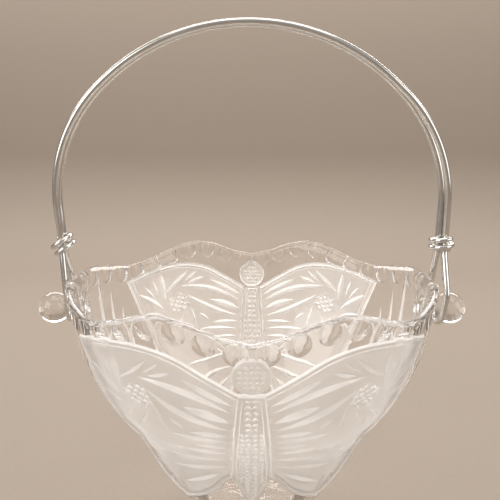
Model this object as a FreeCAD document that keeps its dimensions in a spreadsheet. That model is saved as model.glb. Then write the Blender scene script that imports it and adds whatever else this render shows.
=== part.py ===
import FreeCAD, Part
import math
import os

# Pressed glass basket: an oval bowl with a wavy rim and two raised butterflies,
# pressed in one piece with a ball knob at each end, and a bail of doubled bright
# wire that is looped round the knobs' necks and bound above each with a coil.
# Millimetres. +Z is up, +X runs along the knobs, and the front is at -Y.
# The origin is on the table, under the middle of the bowl.

doc = FreeCAD.newDocument("GlassBasket")
sheet = doc.addObject("Spreadsheet::Sheet", "Sheet")

# The driving sizes: alias, value and what it measures.
sizes = [
    ("rim_half_length", 89.2, "middle of the bowl to the end of the rim"),
    ("rim_half_width", 73.5, "middle of the bowl to the front of the rim"),
    ("wall", 4.6, "thickness of the wall"),
    ("floor_thickness", 9.0, "glass under the cavity"),
    ("foot_half_length", 32.0, "foot, along the knobs"),
    ("heel_rise", 12.0, "table to the section above the foot"),
    ("heel_half_length", 37.0, "half length of that section"),
    ("lap_rise", 23.0, "from there to the section at the lower wings"),
    ("lap_half_length", 51.0, "half length of that section"),
    ("waist_rise", 15.0, "from there to the section at the wings' notches"),
    ("waist_half_length", 58.2, "half length of that section"),
    ("belly_rise", 16.0, "from there to the section at the wings' roots"),
    ("belly_half_length", 69.0, "half length of that section"),
    ("shoulder_rise", 24.0, "from there to the section under the knobs"),
    ("shoulder_half_length", 82.2, "half length of that section"),
    ("knob_rise", 20.0, "from there to the knobs and the bail's axis"),
    ("knob_level_draft", 2.3, "how much shorter the bowl is there than at the rim"),
    ("rim_rise", 20.3, "from the knobs to the top of the rim's waves"),
    ("middle_dip", 9.5, "drop of the rim at the middle of a long side"),
    ("corner_dip", 9.8, "drop of the rim at the wing tips"),
    ("end_dip", 4.0, "drop of the rim above a knob"),
    ("peak_offset", 35.0, "middle of the bowl to a wave's top"),
    ("corner_offset", 71.0, "middle of the bowl to the dip at a wing tip"),
    ("rim_facets", 11.0, "straight facets of the rim in each quarter"),
    ("print_drop", 5.2, "rim down to a thumbprint's middle"),
    ("print_radius", 5.0, "thumbprint"),
    ("print_depth", 1.3, "depth of a thumbprint"),
    ("wing_reach", 73.0, "middle of the butterfly to a wing tip"),
    ("wing_top_drop", 13.3, "rim's top down to the wings' highest point"),
    ("wing_foot", 24.0, "level of the wings' lowest point"),
    ("wing_relief", 0.9, "height of the wings over the wall"),
    ("body_relief", 1.9, "height of the body and head over the wall"),
    ("body_half_width", 8.5, "butterfly's body at its widest"),
    ("head_radius", 7.8, "butterfly's head"),
    ("head_drop", 22.6, "rim's top down to the head's middle"),
    ("patch_radius", 5.4, "round patch in a wing"),
    ("spike_depth", 0.8, "tall cuts in the end panels"),
    ("foot_recess", 1.2, "hollow under the foot"),
    ("foot_ring", 7.0, "width of the ring that the foot rests on"),
    ("end_flat", 1.8, "depth of the flat at each end of the bowl"),
    ("collar_radius", 7.7, "collar between the wall and a neck"),
    ("collar_length", 0.9, "collar, along the knob"),
    ("neck_radius", 4.0, "neck that the bail's loop goes round"),
    ("knob_radius", 8.0, "ball at the end of a neck"),
    ("wire_radius", 1.6, "bail wire"),
    ("running_gap", 0.06, "between a loop and its neck"),
    ("side_gap", 0.15, "between a loop and the collar or the ball"),
    ("bail_rise", 132.5, "bail's axis to the middle of the wire at its top"),
    ("crown_radius", 99.0, "large bend over the top of the bail"),
    ("crown_angle", 42.5, "degrees from the top to the end of that bend"),
    ("shoulder_radius", 72.0, "bend at each side of the bow"),
    ("bow_run", 4.1, "straight run between the crown's bend and a shoulder's"),
    ("leg_bend_radius", 10.0, "bends of a leg at its binding and above its loop"),
    ("strand_offset", 3.1, "half the spacing of the strands in the bow"),
    ("strand_gap", 0.1, "between the strands in a binding"),
    ("bail_lean", 2.4, "sideways lean of the bow at its top"),
    ("binding_height", 32.5, "bail's axis to the middle of a binding"),
    ("binding_half_height", 4.2, "half the parallel run inside a binding"),
    ("binding_spread", 1.8, "how far a binding stands out beyond its loop"),
    ("binding_wire_radius", 1.15, "wire of the binding coils"),
    ("binding_gap", 0.6, "between the strands and a coil"),
    ("binding_pitch", 3.6, "rise of a coil in a turn"),
    ("binding_turns", 1.8, "turns of a coil"),
    ("left_binding_tilt", 24.0, "degrees that the left coil leans"),
    ("left_binding_spin", 200.0, "degrees from the outer side to the left coil's lower end"),
    ("right_binding_spin", 20.0, "degrees from the outer side to the right coil's lower end"),
    ("right_pair_turn", 62.0, "degrees that the strands are turned in the right coil"),
    ("loose_leg_out", 3.4, "how far the right loop rides out over its ball"),
    ("loose_leg_front", 3.2, "how far it bulges to the front there"),
]
for row, (alias, value, note) in enumerate(sizes, start=1):
    sheet.set("A%d" % row, alias)
    sheet.set("B%d" % row, str(value))
    sheet.set("C%d" % row, note)
    sheet.setAlias("B%d" % row, alias)
doc.recompute()


def size(alias):
    return float(sheet.get(alias))


def point(x, y, z):
    return FreeCAD.Vector(x, y, z)


def addShape(name, shape):
    """A plain feature that holds a shape worked out from the sheet's sizes."""
    feature = doc.addObject("Part::Feature", name)
    feature.Shape = shape
    return feature


def addCut(name, base, tool):
    cut = doc.addObject("Part::Cut", name)
    cut.Base = base
    cut.Tool = tool
    return cut


def addFuse(name, shapes):
    fuse = doc.addObject("Part::MultiFuse", name)
    fuse.Shapes = shapes
    return fuse


# How far a tool reaches beyond the glass, as a share of the glass's own size.
past = 1.5

# The levels of the bowl's sections, each one rise above the last.
rises = ["heel_rise", "lap_rise", "waist_rise", "belly_rise", "shoulder_rise", "knob_rise", "rim_rise"]


def levelOf(last):
    """The level that a rise ends at, for an expression."""
    count = rises.index(last) + 1
    return "(%s)" % " + ".join("Sheet." + rise for rise in rises[:count])


def heightOf(last):
    """The same level in millimetres."""
    count = rises.index(last) + 1
    return sum(size(rise) for rise in rises[:count])


knobLevel = levelOf("knob_rise")
rimPeak = levelOf("rim_rise")
knobHeight = heightOf("knob_rise")
rimPeakHeight = heightOf("rim_rise")

# The sections, from the foot up to a little above the rim.
sections = [
    ("Foot", "0", "Sheet.foot_half_length"),
    ("Heel", levelOf("heel_rise"), "Sheet.heel_half_length"),
    ("Lap", levelOf("lap_rise"), "Sheet.lap_half_length"),
    ("Waist", levelOf("waist_rise"), "Sheet.waist_half_length"),
    ("Belly", levelOf("belly_rise"), "Sheet.belly_half_length"),
    ("Shoulder", levelOf("shoulder_rise"), "Sheet.shoulder_half_length"),
    ("Knob", knobLevel, "Sheet.rim_half_length - Sheet.knob_level_draft"),
    ("Lip", rimPeak + " - Sheet.corner_dip", "Sheet.rim_half_length - Sheet.knob_level_draft / 3"),
    ("Rim", rimPeak + " + Sheet.wall", "Sheet.rim_half_length + Sheet.knob_level_draft / 4"),
]
planRatio = "Sheet.rim_half_width / Sheet.rim_half_length"


def addLoft(name, stations, grow):
    """A solid through the bowl's oval sections, each grown by one amount."""
    rings = []
    for label, level, halfLength in stations:
        ring = doc.addObject("Part::Ellipse", name + label)
        ring.setExpression("MajorRadius", "%s + (%s)" % (halfLength, grow))
        ring.setExpression("MinorRadius", "(%s) * %s + (%s)" % (halfLength, planRatio, grow))
        ring.setExpression("Placement.Base.z", level)
        rings.append(ring)
    loft = doc.addObject("Part::Loft", name)
    loft.Sections = rings
    loft.Solid = True
    return loft


# The cavity has one section at the floor in place of the foot's and the heel's.
heelSlope = "(Sheet.heel_half_length - Sheet.foot_half_length) / Sheet.heel_rise"
floorLength = "Sheet.foot_half_length + Sheet.floor_thickness * " + heelSlope
floorSection = ("Floor", "Sheet.floor_thickness", floorLength)
outer = addLoft("OuterForm", sections, "0")
wingSkin = addLoft("WingSkin", sections, "Sheet.wing_relief")
bodySkin = addLoft("BodySkin", sections, "Sheet.body_relief")
spikeSkin = addLoft("SpikeSkin", sections, "-Sheet.spike_depth")
cavity = addLoft("CavityForm", [floorSection] + sections[2:], "-Sheet.wall")

# The glass is worked out for the quarter at the front right, then mirrored twice.
quarterBox = doc.addObject("Part::Box", "QuarterBox")
quarterBox.setExpression("Length", "Sheet.rim_half_length * %g" % past)
quarterBox.setExpression("Width", "Sheet.rim_half_width * %g" % past)
quarterBox.setExpression("Height", "%s * %g" % (rimPeak, past))
quarterBox.setExpression("Placement.Base.y", "-Sheet.rim_half_width * %g" % past)


def addQuarter(name, whole):
    quarter = doc.addObject("Part::Common", name)
    quarter.Base = whole
    quarter.Tool = quarterBox
    return quarter


outerQuarter = addQuarter("OuterQuarter", outer)
doc.recompute()


# Butterfly. Its outline is drawn on the XZ plane for the wing at +X, in shares of the
# wing's reach and height, and pressed into the wall along Y.
wingTop = rimPeakHeight - size("wing_top_drop")


def onWing(reach, rise):
    low = size("wing_foot")
    return point(reach * size("wing_reach"), 0, low + rise * (wingTop - low))


def splineEdge(points):
    curve = Part.BSplineCurve()
    curve.interpolate(points)
    return curve.toShape()


def wingOutline():
    root = onWing(0.03, 0.80)
    tip = onWing(1.0, 0.943)
    notch = onWing(0.69, 0.41)
    toe = onWing(0.42, 0.0)
    heel = onWing(0.03, 0.28)
    crest = onWing(0.575, 1.0)
    top = splineEdge([root, onWing(0.24, 0.90), onWing(0.40, 0.97), crest, onWing(0.77, 0.99), tip])
    side = splineEdge([tip, onWing(0.90, 0.715), onWing(0.78, 0.495), notch])
    lobe = splineEdge([notch, onWing(0.68, 0.31), onWing(0.59, 0.14), toe])
    under = splineEdge([toe, onWing(0.29, 0.08), onWing(0.205, 0.15), onWing(0.12, 0.245), heel])
    back = Part.makeLine(heel, root)
    return Part.Face(Part.Wire([top, side, lobe, under, back]))


def lensFace(root, tip, width, bend=0.0):
    """A petal: two arcs from its root to its tip, bent sideways by one amount."""
    along = (tip - root).normalize()
    across = point(-along.z, 0, along.x)
    middle = (root + tip) * 0.5
    left = Part.Arc(root, middle + across * (bend + width / 2), tip).toShape()
    right = Part.Arc(tip, middle + across * (bend - width / 2), root).toShape()
    return Part.Face(Part.Wire([left, right]))


# Veins run out from the body: reach and rise of the root, then of the tip, width, bend.
veins = [
    (0.10, 0.760, 0.366, 0.873, 3.0, 0.0),
    (0.11, 0.722, 0.625, 0.848, 3.2, 2.6),
    (0.115, 0.667, 0.362, 0.737, 4.0, 0.4),
    (0.125, 0.625, 0.560, 0.790, 3.2, -2.2),
    (0.13, 0.587, 0.338, 0.591, 2.6, 0.0),
    (0.13, 0.544, 0.445, 0.559, 2.6, 0.0),
    (0.135, 0.500, 0.320, 0.502, 2.2, 0.0),
    (0.14, 0.455, 0.430, 0.457, 2.4, 0.0),
    (0.14, 0.402, 0.560, 0.371, 2.6, 0.0),
    (0.13, 0.345, 0.480, 0.270, 2.8, 0.0),
    (0.16, 0.290, 0.420, 0.150, 2.6, 0.0),
]
# Leaves turn like a pinwheel about the patch, and a small fan fills the lower lobe.
leaves = [
    (0.723, 0.817, 0.542, 0.946, 2.6, 0.0),
    (0.726, 0.765, 0.763, 0.948, 3.0, 0.0),
    (0.781, 0.805, 0.823, 0.909, 1.8, 0.0),
    (0.808, 0.796, 0.880, 0.880, 1.8, 0.0),
    (0.740, 0.722, 0.926, 0.845, 3.0, 0.0),
    (0.737, 0.677, 0.870, 0.714, 2.2, 0.0),
    (0.575, 0.875, 0.477, 0.937, 1.8, 0.0),
    (0.551, 0.862, 0.419, 0.894, 2.2, 0.0),
    (0.527, 0.710, 0.470, 0.580, 1.8, 0.0),
    (0.580, 0.655, 0.640, 0.550, 2.0, 0.0),
    (0.660, 0.655, 0.750, 0.560, 2.0, 0.0),
    (0.452, 0.660, 0.370, 0.610, 1.8, 0.0),
    (0.550, 0.270, 0.640, 0.330, 2.0, 0.0),
    (0.540, 0.210, 0.610, 0.230, 1.8, 0.0),
    (0.500, 0.180, 0.520, 0.080, 2.0, 0.0),
    (0.460, 0.180, 0.410, 0.080, 1.8, 0.0),
]
patchPlace = onWing(0.622, 0.742)


def wingFace():
    """The wing with its petals and its round patch cut through."""
    holes = [Part.Face(Part.Wire([Part.makeCircle(size("patch_radius"), patchPlace, point(0, 1, 0))]))]
    for rootReach, rootRise, tipReach, tipRise, width, bend in veins + leaves:
        holes.append(lensFace(onWing(rootReach, rootRise), onWing(tipReach, tipRise), width, bend))
    return wingOutline().cut(holes)


def bodyFace():
    """Head and abdomen in one outline, symmetric about the middle."""
    low = size("wing_foot")
    half = size("body_half_width")
    tall = wingTop - low
    neck = point(0.62 * half, 0, low + 0.82 * tall)
    waist = point(0.92 * half, 0, low + 0.49 * tall)
    hip = point(half, 0, low + 0.37 * tall)
    taper = point(0.5 * half, 0, low + 0.19 * tall)
    tail = point(0, 0, low + 0.02 * tall)
    right = splineEdge([neck, waist, hip, taper, tail])
    left = right.mirror(point(0, 0, 0), point(1, 0, 0))
    lid = Part.makeLine(point(-neck.x, 0, neck.z), neck)
    abdomen = Part.Face(Part.Wire(Part.__sortEdges__([right, left, lid])))
    ring = Part.makeCircle(size("head_radius"), point(0, 0, rimPeakHeight - size("head_drop")), point(0, 1, 0))
    head = Part.Face(Part.Wire([ring]))
    return abdomen.fuse(head).removeSplitter()


def addPress(name, face, skin):
    """A face of the XZ plane pressed forwards and kept inside a skin."""
    outline = addShape(name + "Outline", face)
    block = doc.addObject("Part::Extrusion", name + "Block")
    block.Base = outline
    block.DirMode = "Custom"
    block.Dir = point(0, -1, 0)
    block.setExpression("LengthFwd", "Sheet.rim_half_width * %g" % past)
    block.Solid = True
    press = doc.addObject("Part::Common", name)
    press.Base = block
    press.Tool = skin
    return press


wing = addPress("Wing", wingFace(), wingSkin)
body = addPress("Body", bodyFace(), bodySkin)


# Tall cuts in the clear panels at the ends, drawn on the YZ plane. Place of the top and
# then of the foot in shares of the rim's half width and the knob's height, and width.
spikes = [
    (0.293, 1.10, 0.122, 0.52, 2.4),
    (0.388, 1.00, 0.197, 0.46, 2.0),
    (0.449, 0.90, 0.272, 0.46, 2.0),
]


def spikeBlock():
    """Blades along X through the +X end, in front of the knob."""
    reach = past * size("rim_half_length")
    half = size("rim_half_width")
    level = knobHeight
    widestShare = 0.6
    blades = []
    for topWidth, topLevel, footWidth, footLevel, width in spikes:
        top = point(0, -topWidth * half, topLevel * level)
        foot = point(0, -footWidth * half, footLevel * level)
        along = (foot - top).normalize()
        across = point(0, -along.z, along.y) * (width / 2)
        shoulder = top + (foot - top) * widestShare
        blade = Part.makePolygon([top, shoulder + across, foot, shoulder - across, top])
        blades.append(Part.Face(blade).extrude(point(reach, 0, 0)))
    return Part.makeCompound(blades)


spikeCutter = addCut("SpikeCutter", addShape("SpikeBlades", spikeBlock()), spikeSkin)


# Knobs: collar, neck and ball, in line with the bail's axis.
wallEnd = "(Sheet.rim_half_length - Sheet.end_flat)"
collarEnd = "(%s + Sheet.collar_length)" % wallEnd
loopPlace = "(%s + Sheet.side_gap + Sheet.wire_radius)" % collarEnd
loopRadius = "(Sheet.neck_radius + Sheet.running_gap + Sheet.wire_radius)"
ballReach = "(Sheet.knob_radius + Sheet.side_gap + Sheet.wire_radius)"
ballPlace = "(%s + sqrt(%s ^ 2 - %s ^ 2))" % (loopPlace, ballReach, loopRadius)


def addRod(name, radius, end):
    """A round bar from the cavity, which trims it later, out along +X."""
    rod = doc.addObject("Part::Cylinder", name)
    start = "(Sheet.rim_half_length / 2)"
    rod.Placement = FreeCAD.Placement(point(0, 0, 0), FreeCAD.Rotation(point(0, 1, 0), 90))
    rod.setExpression("Radius", radius)
    rod.setExpression("Height", "%s - %s" % (end, start))
    rod.setExpression("Placement.Base.x", start)
    rod.setExpression("Placement.Base.z", knobLevel)
    return rod


collar = addRod("Collar", "Sheet.collar_radius", collarEnd)
neck = addRod("Neck", "Sheet.neck_radius", ballPlace)
ball = doc.addObject("Part::Sphere", "Ball")
ball.setExpression("Radius", "Sheet.knob_radius")
ball.setExpression("Placement.Base.x", ballPlace)
ball.setExpression("Placement.Base.z", knobLevel)
knob = addFuse("Knob", [collar, neck, ball])
endBlock = doc.addObject("Part::Box", "EndBlock")
endBlock.setExpression("Length", "Sheet.end_flat * 2 * %g" % past)
endBlock.setExpression("Width", "Sheet.rim_half_width * 2 * %g" % past)
endBlock.setExpression("Height", "%s * %g" % (rimPeak, past))
endBlock.setExpression("Placement.Base.x", wallEnd)
endBlock.setExpression("Placement.Base.y", "-Sheet.rim_half_width * %g" % past)
doc.recompute()


# Rim: straight facets of equal length round the oval, on a wave with six tops.
def ovalPoint(turn):
    """Place on the rim's oval, as a share of a quarter from the front to the +X end."""
    steps = 200
    halfLength = size("rim_half_length")
    halfWidth = size("rim_half_width")
    places = [(halfLength * math.sin(k * math.pi / 2 / steps), -halfWidth * math.cos(k * math.pi / 2 / steps))
              for k in range(steps + 1)]
    runs = [0.0]
    for (xa, ya), (xb, yb) in zip(places, places[1:]):
        runs.append(runs[-1] + math.hypot(xb - xa, yb - ya))
    wanted = turn * runs[-1]
    k = max(i for i in range(steps) if runs[i] <= wanted)
    share = (wanted - runs[k]) / (runs[k + 1] - runs[k])
    xa, ya = places[k]
    xb, yb = places[k + 1]
    return xa + share * (xb - xa), ya + share * (yb - ya)


def rimLevel(x):
    """Smooth wave of the rim: dips at the middle, the wing tips and the ends."""
    peak = rimPeakHeight
    stops = [
        (0.0, peak - size("middle_dip")),
        (size("peak_offset"), peak),
        (size("corner_offset"), peak - size("corner_dip")),
        (size("rim_half_length"), peak - size("end_dip")),
    ]
    for (xa, za), (xb, zb) in zip(stops, stops[1:]):
        if x <= xb:
            share = (x - xa) / (xb - xa)
            return za + (zb - za) * (1 - math.cos(math.pi * share)) / 2
    return stops[-1][1]


def rimBlock():
    """Everything above the faceted rim of the quarter."""
    count = int(size("rim_facets"))
    outline = []
    for k in range(count + 1):
        x = ovalPoint(k / count)[0]
        outline.append((x, rimLevel(x)))
    reach = past * size("rim_half_length")
    sky = past * rimPeakHeight
    margin = -size("wall")
    outline = [(margin, outline[0][1])] + outline + [(reach, outline[-1][1]), (reach, sky), (margin, sky)]
    corners = [point(x, size("wall"), z) for x, z in outline]
    face = Part.Face(Part.makePolygon(corners + corners[:1]))
    return face.extrude(point(0, -past * size("rim_half_width"), 0))


profile = max(outer.Shape.Edges, key=lambda edge: edge.BoundBox.ZLength)


def halfLengthAt(level):
    """Half length of the outer form at one level."""
    low = profile.FirstParameter
    high = profile.LastParameter
    for _ in range(30):
        middle = (low + high) / 2
        if profile.valueAt(middle).z < level:
            low = middle
        else:
            high = middle
    return abs(profile.valueAt(low).x)


def printBalls():
    """One ball for each thumbprint, under the middle of each facet."""
    count = int(size("rim_facets"))
    radius = size("print_radius")
    depth = size("print_depth")
    ballRadius = (radius ** 2 + depth ** 2) / (2 * depth)
    halfLength = size("rim_half_length")
    halfWidth = size("rim_half_width")
    balls = []
    for k in range(count):
        x, y = ovalPoint((k + 0.5) / count)
        level = rimLevel(x) - size("print_drop")
        grown = halfLengthAt(level) / halfLength
        normal = point(x / halfLength ** 2, y / halfWidth ** 2, 0).normalize()
        centre = point(x * grown, y * grown, level) + normal * (ballRadius - depth)
        balls.append(Part.makeSphere(ballRadius, centre))
    return Part.makeCompound(balls)


def footBlock():
    """The shallow hollow under the foot."""
    ratio = size("rim_half_width") / size("rim_half_length")
    long = size("foot_half_length") - size("foot_ring")
    short = size("foot_half_length") * ratio - size("foot_ring")
    depth = size("foot_recess")
    oval = Part.Ellipse(point(0, 0, -depth), long, short).toShape()
    return Part.Face(Part.Wire([oval])).extrude(point(0, 0, 2 * depth))


printed = addCut("PrintedQuarter", outerQuarter, addShape("PrintBalls", printBalls()))
flatted = addCut("FlattedQuarter", printed, addFuse("SideTools", [endBlock, spikeCutter]))
halfBody = addQuarter("HalfBody", body)
halfKnob = addQuarter("HalfKnob", knob)
dressed = addFuse("DressedQuarter", [flatted, wing, halfBody, halfKnob])
rimCutter = addShape("RimBlock", rimBlock())
footCutter = addShape("FootBlock", footBlock())
hollow = addFuse("HollowTools", [cavity, rimCutter, footCutter])
quarter = addCut("Quarter", dressed, hollow)
doc.recompute()


def joinedQuarters(shape):
    """The quarter without its two middle faces, mirrored twice and sewn into one solid."""
    def onMiddle(face):
        box = face.BoundBox
        return max(abs(box.XMin), abs(box.XMax)) < 1e-4 or max(abs(box.YMin), abs(box.YMax)) < 1e-4

    skin = [face for face in shape.Faces if not onMiddle(face)]
    skin += [face.mirror(point(0, 0, 0), point(0, 1, 0)) for face in skin]
    skin += [face.mirror(point(0, 0, 0), point(1, 0, 0)) for face in skin]
    whole = Part.makeCompound(skin)
    whole.sewShape()
    solid = Part.Solid(whole.Shells[0]).removeSplitter()
    print("bowl volume over four quarters:", round(solid.Volume / (4 * shape.Volume), 6))
    return solid


glassBowl = addShape("GlassBowl", joinedQuarters(quarter.Shape))
glassBowl.Label = "glass_bowl"


# Bail. Each strand is straight runs joined by tangent arcs, worked out about the
# bail's axis: from under the left neck, up its leg, over the bow and down again.
def roundedPath(corners):
    """Runs and arcs through (place, radius) corners."""
    edges = []
    start = corners[0][0]
    for (before, _), (place, radius), (after, _) in zip(corners, corners[1:], corners[2:]):
        back = (before - place).normalize()
        ahead = (after - place).normalize()
        half = back.getAngle(ahead) / 2
        cut = radius / math.tan(half)
        begin = place + back * cut
        end = place + ahead * cut
        middle = place + (back + ahead).normalize() * (radius / math.sin(half) - radius)
        if (begin - start).Length > 1e-6:
            edges.append(Part.makeLine(start, begin))
        edges.append(Part.Arc(begin, middle, end).toShape())
        start = end
    if (corners[-1][0] - start).Length > 1e-6:
        edges.append(Part.makeLine(start, corners[-1][0]))
    return Part.Wire(edges)


wireRadius = size("wire_radius")
loopX = size("rim_half_length") - size("end_flat") + size("collar_length") + size("side_gap") + wireRadius
loopTurn = size("neck_radius") + size("running_gap") + wireRadius
pairHalf = wireRadius + size("strand_gap") / 2
bindingX = loopX + size("binding_spread")


def bowCorner():
    """Where the tangents of the crown and of a leg meet, and the crown's own corner."""
    angle = math.radians(size("crown_angle"))
    crown = size("crown_radius")
    centre = size("bail_rise") - crown
    endX = crown * math.sin(angle)
    endZ = centre + crown * math.cos(angle)
    topZ = centre + crown / math.cos(angle)
    run = size("shoulder_radius") * math.tan((math.pi / 2 - angle) / 2) + size("bow_run")
    return endX + run * math.cos(angle), endZ - run * math.sin(angle), topZ


def leaned(x, y, z):
    """A place of the bow, moved sideways with the bow's lean."""
    share = max(0.0, (z - size("binding_height")) / (size("bail_rise") - size("binding_height")))
    return point(x - size("bail_lean") * min(share, 1.0), y, z)


def legCorners(side, strand):
    """Corners from under a neck up to the bow, for one strand: -1 is the front one."""
    low = size("binding_height") - size("binding_half_height")
    high = size("binding_height") + size("binding_half_height")
    turn = math.radians(size("right_pair_turn")) if side > 0 else 0.0
    pairX = side * bindingX - strand * pairHalf * math.sin(turn)
    pairY = strand * pairHalf * math.cos(turn)
    out = 0.0
    front = 0.0
    if side > 0 and strand < 0:
        out = size("loose_leg_out")
        front = size("loose_leg_front")
    hip = loopTurn + front
    # The bend under the neck ends a little short of the loop's side, and the leg's
    # next bend sits a little above the neck.
    underBend = 0.98 * loopTurn
    aboveNeck = 1.6 * loopTurn
    legBend = size("leg_bend_radius")
    return [
        (point(side * loopX, 0, -loopTurn), 0.0),
        (point(side * (loopX + out / 2), strand * hip, -loopTurn), underBend),
        (point(side * (loopX + out), strand * hip, aboveNeck), legBend),
        (point(pairX, pairY, low), legBend),
        (point(pairX, pairY, high), legBend),
    ]


def strandPath(strand):
    shoulderX, shoulderZ, topZ = bowCorner()
    offset = strand * size("strand_offset")
    bow = [
        (leaned(-shoulderX, offset, shoulderZ), size("shoulder_radius")),
        (leaned(0, offset, topZ), size("crown_radius")),
        (leaned(shoulderX, offset, shoulderZ), size("shoulder_radius")),
    ]
    corners = legCorners(-1, strand) + bow + legCorners(1, strand)[::-1]
    return roundedPath(corners)


def sweptWire(path, radius):
    """Round wire along a path, with its length and volume compared."""
    start = path.Edges[0].valueAt(path.Edges[0].FirstParameter)
    along = path.Edges[0].tangentAt(path.Edges[0].FirstParameter)
    ring = Part.Wire([Part.makeCircle(radius, start, along)])
    solid = Part.Wire(path.Edges).makePipeShell([ring], True, False)
    wanted = math.pi * radius ** 2 * path.Length
    print("wire", round(path.Length, 1), "mm, volume off by", round(solid.Volume / wanted - 1, 5))
    return solid


def bailShape():
    """Both strands, joined end to end under the necks into one closed wire."""
    front = sweptWire(strandPath(-1), wireRadius)
    back = sweptWire(strandPath(1), wireRadius)
    return front.fuse(back).removeSplitter()


bailWire = addShape("BailWire", bailShape())
bailWire.Label = "bail_wire"
bailWire.Placement = FreeCAD.Placement(point(0, 0, knobHeight), FreeCAD.Rotation())


# Bindings: a coil of thinner wire round both strands above each knob.
def addBinding(name, label, side, tilt, spin):
    pairReach = "Sheet.wire_radius * 2 + Sheet.strand_gap / 2"
    coilRadius = "(%s + Sheet.binding_gap + Sheet.binding_wire_radius)" % pairReach
    helix = doc.addObject("Part::Helix", name + "Path")
    helix.setExpression("Pitch", "Sheet.binding_pitch")
    helix.setExpression("Height", "Sheet.binding_pitch * Sheet.binding_turns")
    helix.setExpression("Radius", coilRadius)
    ring = doc.addObject("Part::Circle", name + "Ring")
    ring.setExpression("Radius", "Sheet.binding_wire_radius")
    ring.Placement = FreeCAD.Placement(point(0, 0, 0), FreeCAD.Rotation(point(1, 0, 0), 90))
    ring.setExpression("Placement.Base.x", coilRadius)
    coil = doc.addObject("Part::Sweep", name)
    coil.Sections = [ring]
    coil.Spine = (helix, ["Edge1"])
    coil.Solid = True
    coil.Frenet = True
    coil.Label = label
    turned = FreeCAD.Rotation(point(0, 1, 0), tilt).multiply(FreeCAD.Rotation(point(0, 0, 1), spin))
    drop = point(0, 0, -size("binding_pitch") * size("binding_turns") / 2)
    place = point(side * bindingX, 0, knobHeight + size("binding_height"))
    coil.Placement = FreeCAD.Placement(place + turned.multVec(drop), turned)
    return coil


leftWrap = addBinding("LeftBinding", "left_wrap", -1, -size("left_binding_tilt"), size("left_binding_spin"))
rightWrap = addBinding("RightBinding", "right_wrap", 1, 0, size("right_binding_spin"))
doc.recompute()

for thing in doc.Objects:
    if "Invalid" in thing.State or "Error" in thing.State:
        raise RuntimeError("%s failed: %s" % (thing.Name, thing.State))

os.makedirs("parts", exist_ok=True)
for piece in (glassBowl, bailWire, leftWrap, rightWrap):
    shape = piece.Shape
    if shape.isNull() or not shape.isValid() or not shape.Solids:
        raise RuntimeError("%s has no sound shape" % piece.Label)
    shape.exportStep("parts/%s.step" % piece.Label)
    box = shape.optimalBoundingBox(False)
    print(piece.Label, len(shape.Solids), "solid,", len(shape.Faces), "faces,", round(shape.Volume), "mm3,",
          [round(v, 2) for v in (box.XMin, box.YMin, box.ZMin, box.XMax, box.YMax, box.ZMax)])
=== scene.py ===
import math
import bpy
import bmesh
import numpy as np
from mathutils import Matrix, Vector
from mathutils.geometry import delaunay_2d_cdt


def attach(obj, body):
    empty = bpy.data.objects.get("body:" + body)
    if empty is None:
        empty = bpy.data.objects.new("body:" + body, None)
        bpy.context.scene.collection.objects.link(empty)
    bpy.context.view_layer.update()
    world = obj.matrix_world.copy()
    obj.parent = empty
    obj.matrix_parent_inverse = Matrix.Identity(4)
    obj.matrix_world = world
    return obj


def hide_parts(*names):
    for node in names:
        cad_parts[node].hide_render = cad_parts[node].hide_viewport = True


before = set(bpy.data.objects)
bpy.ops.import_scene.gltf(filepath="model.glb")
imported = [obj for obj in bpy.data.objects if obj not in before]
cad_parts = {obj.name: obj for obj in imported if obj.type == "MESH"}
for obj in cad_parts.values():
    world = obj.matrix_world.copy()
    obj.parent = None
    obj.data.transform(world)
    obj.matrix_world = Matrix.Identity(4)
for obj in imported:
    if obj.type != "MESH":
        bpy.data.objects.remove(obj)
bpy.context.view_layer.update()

scene = bpy.context.scene
mm = 0.001


# Colours and nodes
def linear(hexText):
    # sRGB hex to the linear values that the shaders take
    parts = [int(hexText[i:i + 2], 16) / 255 for i in (1, 3, 5)]
    return [p / 12.92 if p <= 0.04045 else ((p + 0.055) / 1.055) ** 2.4 for p in parts] + [1.0]


def addNode(tree, kind, settings=None, inputs=None, links=None):
    # one node with its settings, its socket values and the links into it
    node = tree.nodes.new(kind)
    for key, value in (settings or {}).items():
        setattr(node, key, value)
    for key, value in (inputs or {}).items():
        node.inputs[key].default_value = value
    for key, source in (links or {}).items():
        tree.links.new(source, node.inputs[key])
    return node


def newMaterial(name):
    material = bpy.data.materials.new(name)
    material.use_nodes = True
    material.node_tree.nodes.clear()
    return material, material.node_tree


def noiseAt(tree, size, detail=2.0, stretch=(1, 1, 1)):
    # noise whose blobs are about size metres across, in the object's own metres
    place = addNode(tree, "ShaderNodeTexCoord")
    scaled = addNode(tree, "ShaderNodeMapping", inputs={"Scale": stretch},
                     links={"Vector": place.outputs["Object"]})
    return addNode(tree, "ShaderNodeTexNoise", inputs={"Scale": 1 / size, "Detail": detail},
                   links={"Vector": scaled.outputs["Vector"]})


def spread(tree, source, low, high):
    # noise stays near its middle, so its middle part is stretched from low to high
    return addNode(tree, "ShaderNodeMapRange",
                   inputs={"From Min": 0.3, "From Max": 0.7, "To Min": low, "To Max": high},
                   links={"Value": source})


glassLook = {
    "tint": "#fdfcfb",
    "satinTint": "#fbf9f7",
    "ior": 1.52,
    # slow ripple of the mould, fire polished skin, etched grain (drawn coarse to show), its clouds
    "mouldWave": 14 * mm,
    "skin": 2.2 * mm,
    "grain": 0.45 * mm,
    "cloud": 9 * mm,
    "clearRough": (0.0, 0.035),
    "satinRough": (0.40, 0.52),
    # how milky the satin and the deeper cuts are
    "satinHaze": 0.26,
    "cutHaze": 0.58,
    # share of a lamp's light that goes on through the glass
    "clearPass": 0.90,
    "satinPass": 0.55,
    # inner reflections after which caught light leaves the glass
    "turns": 3.5,
}


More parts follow.
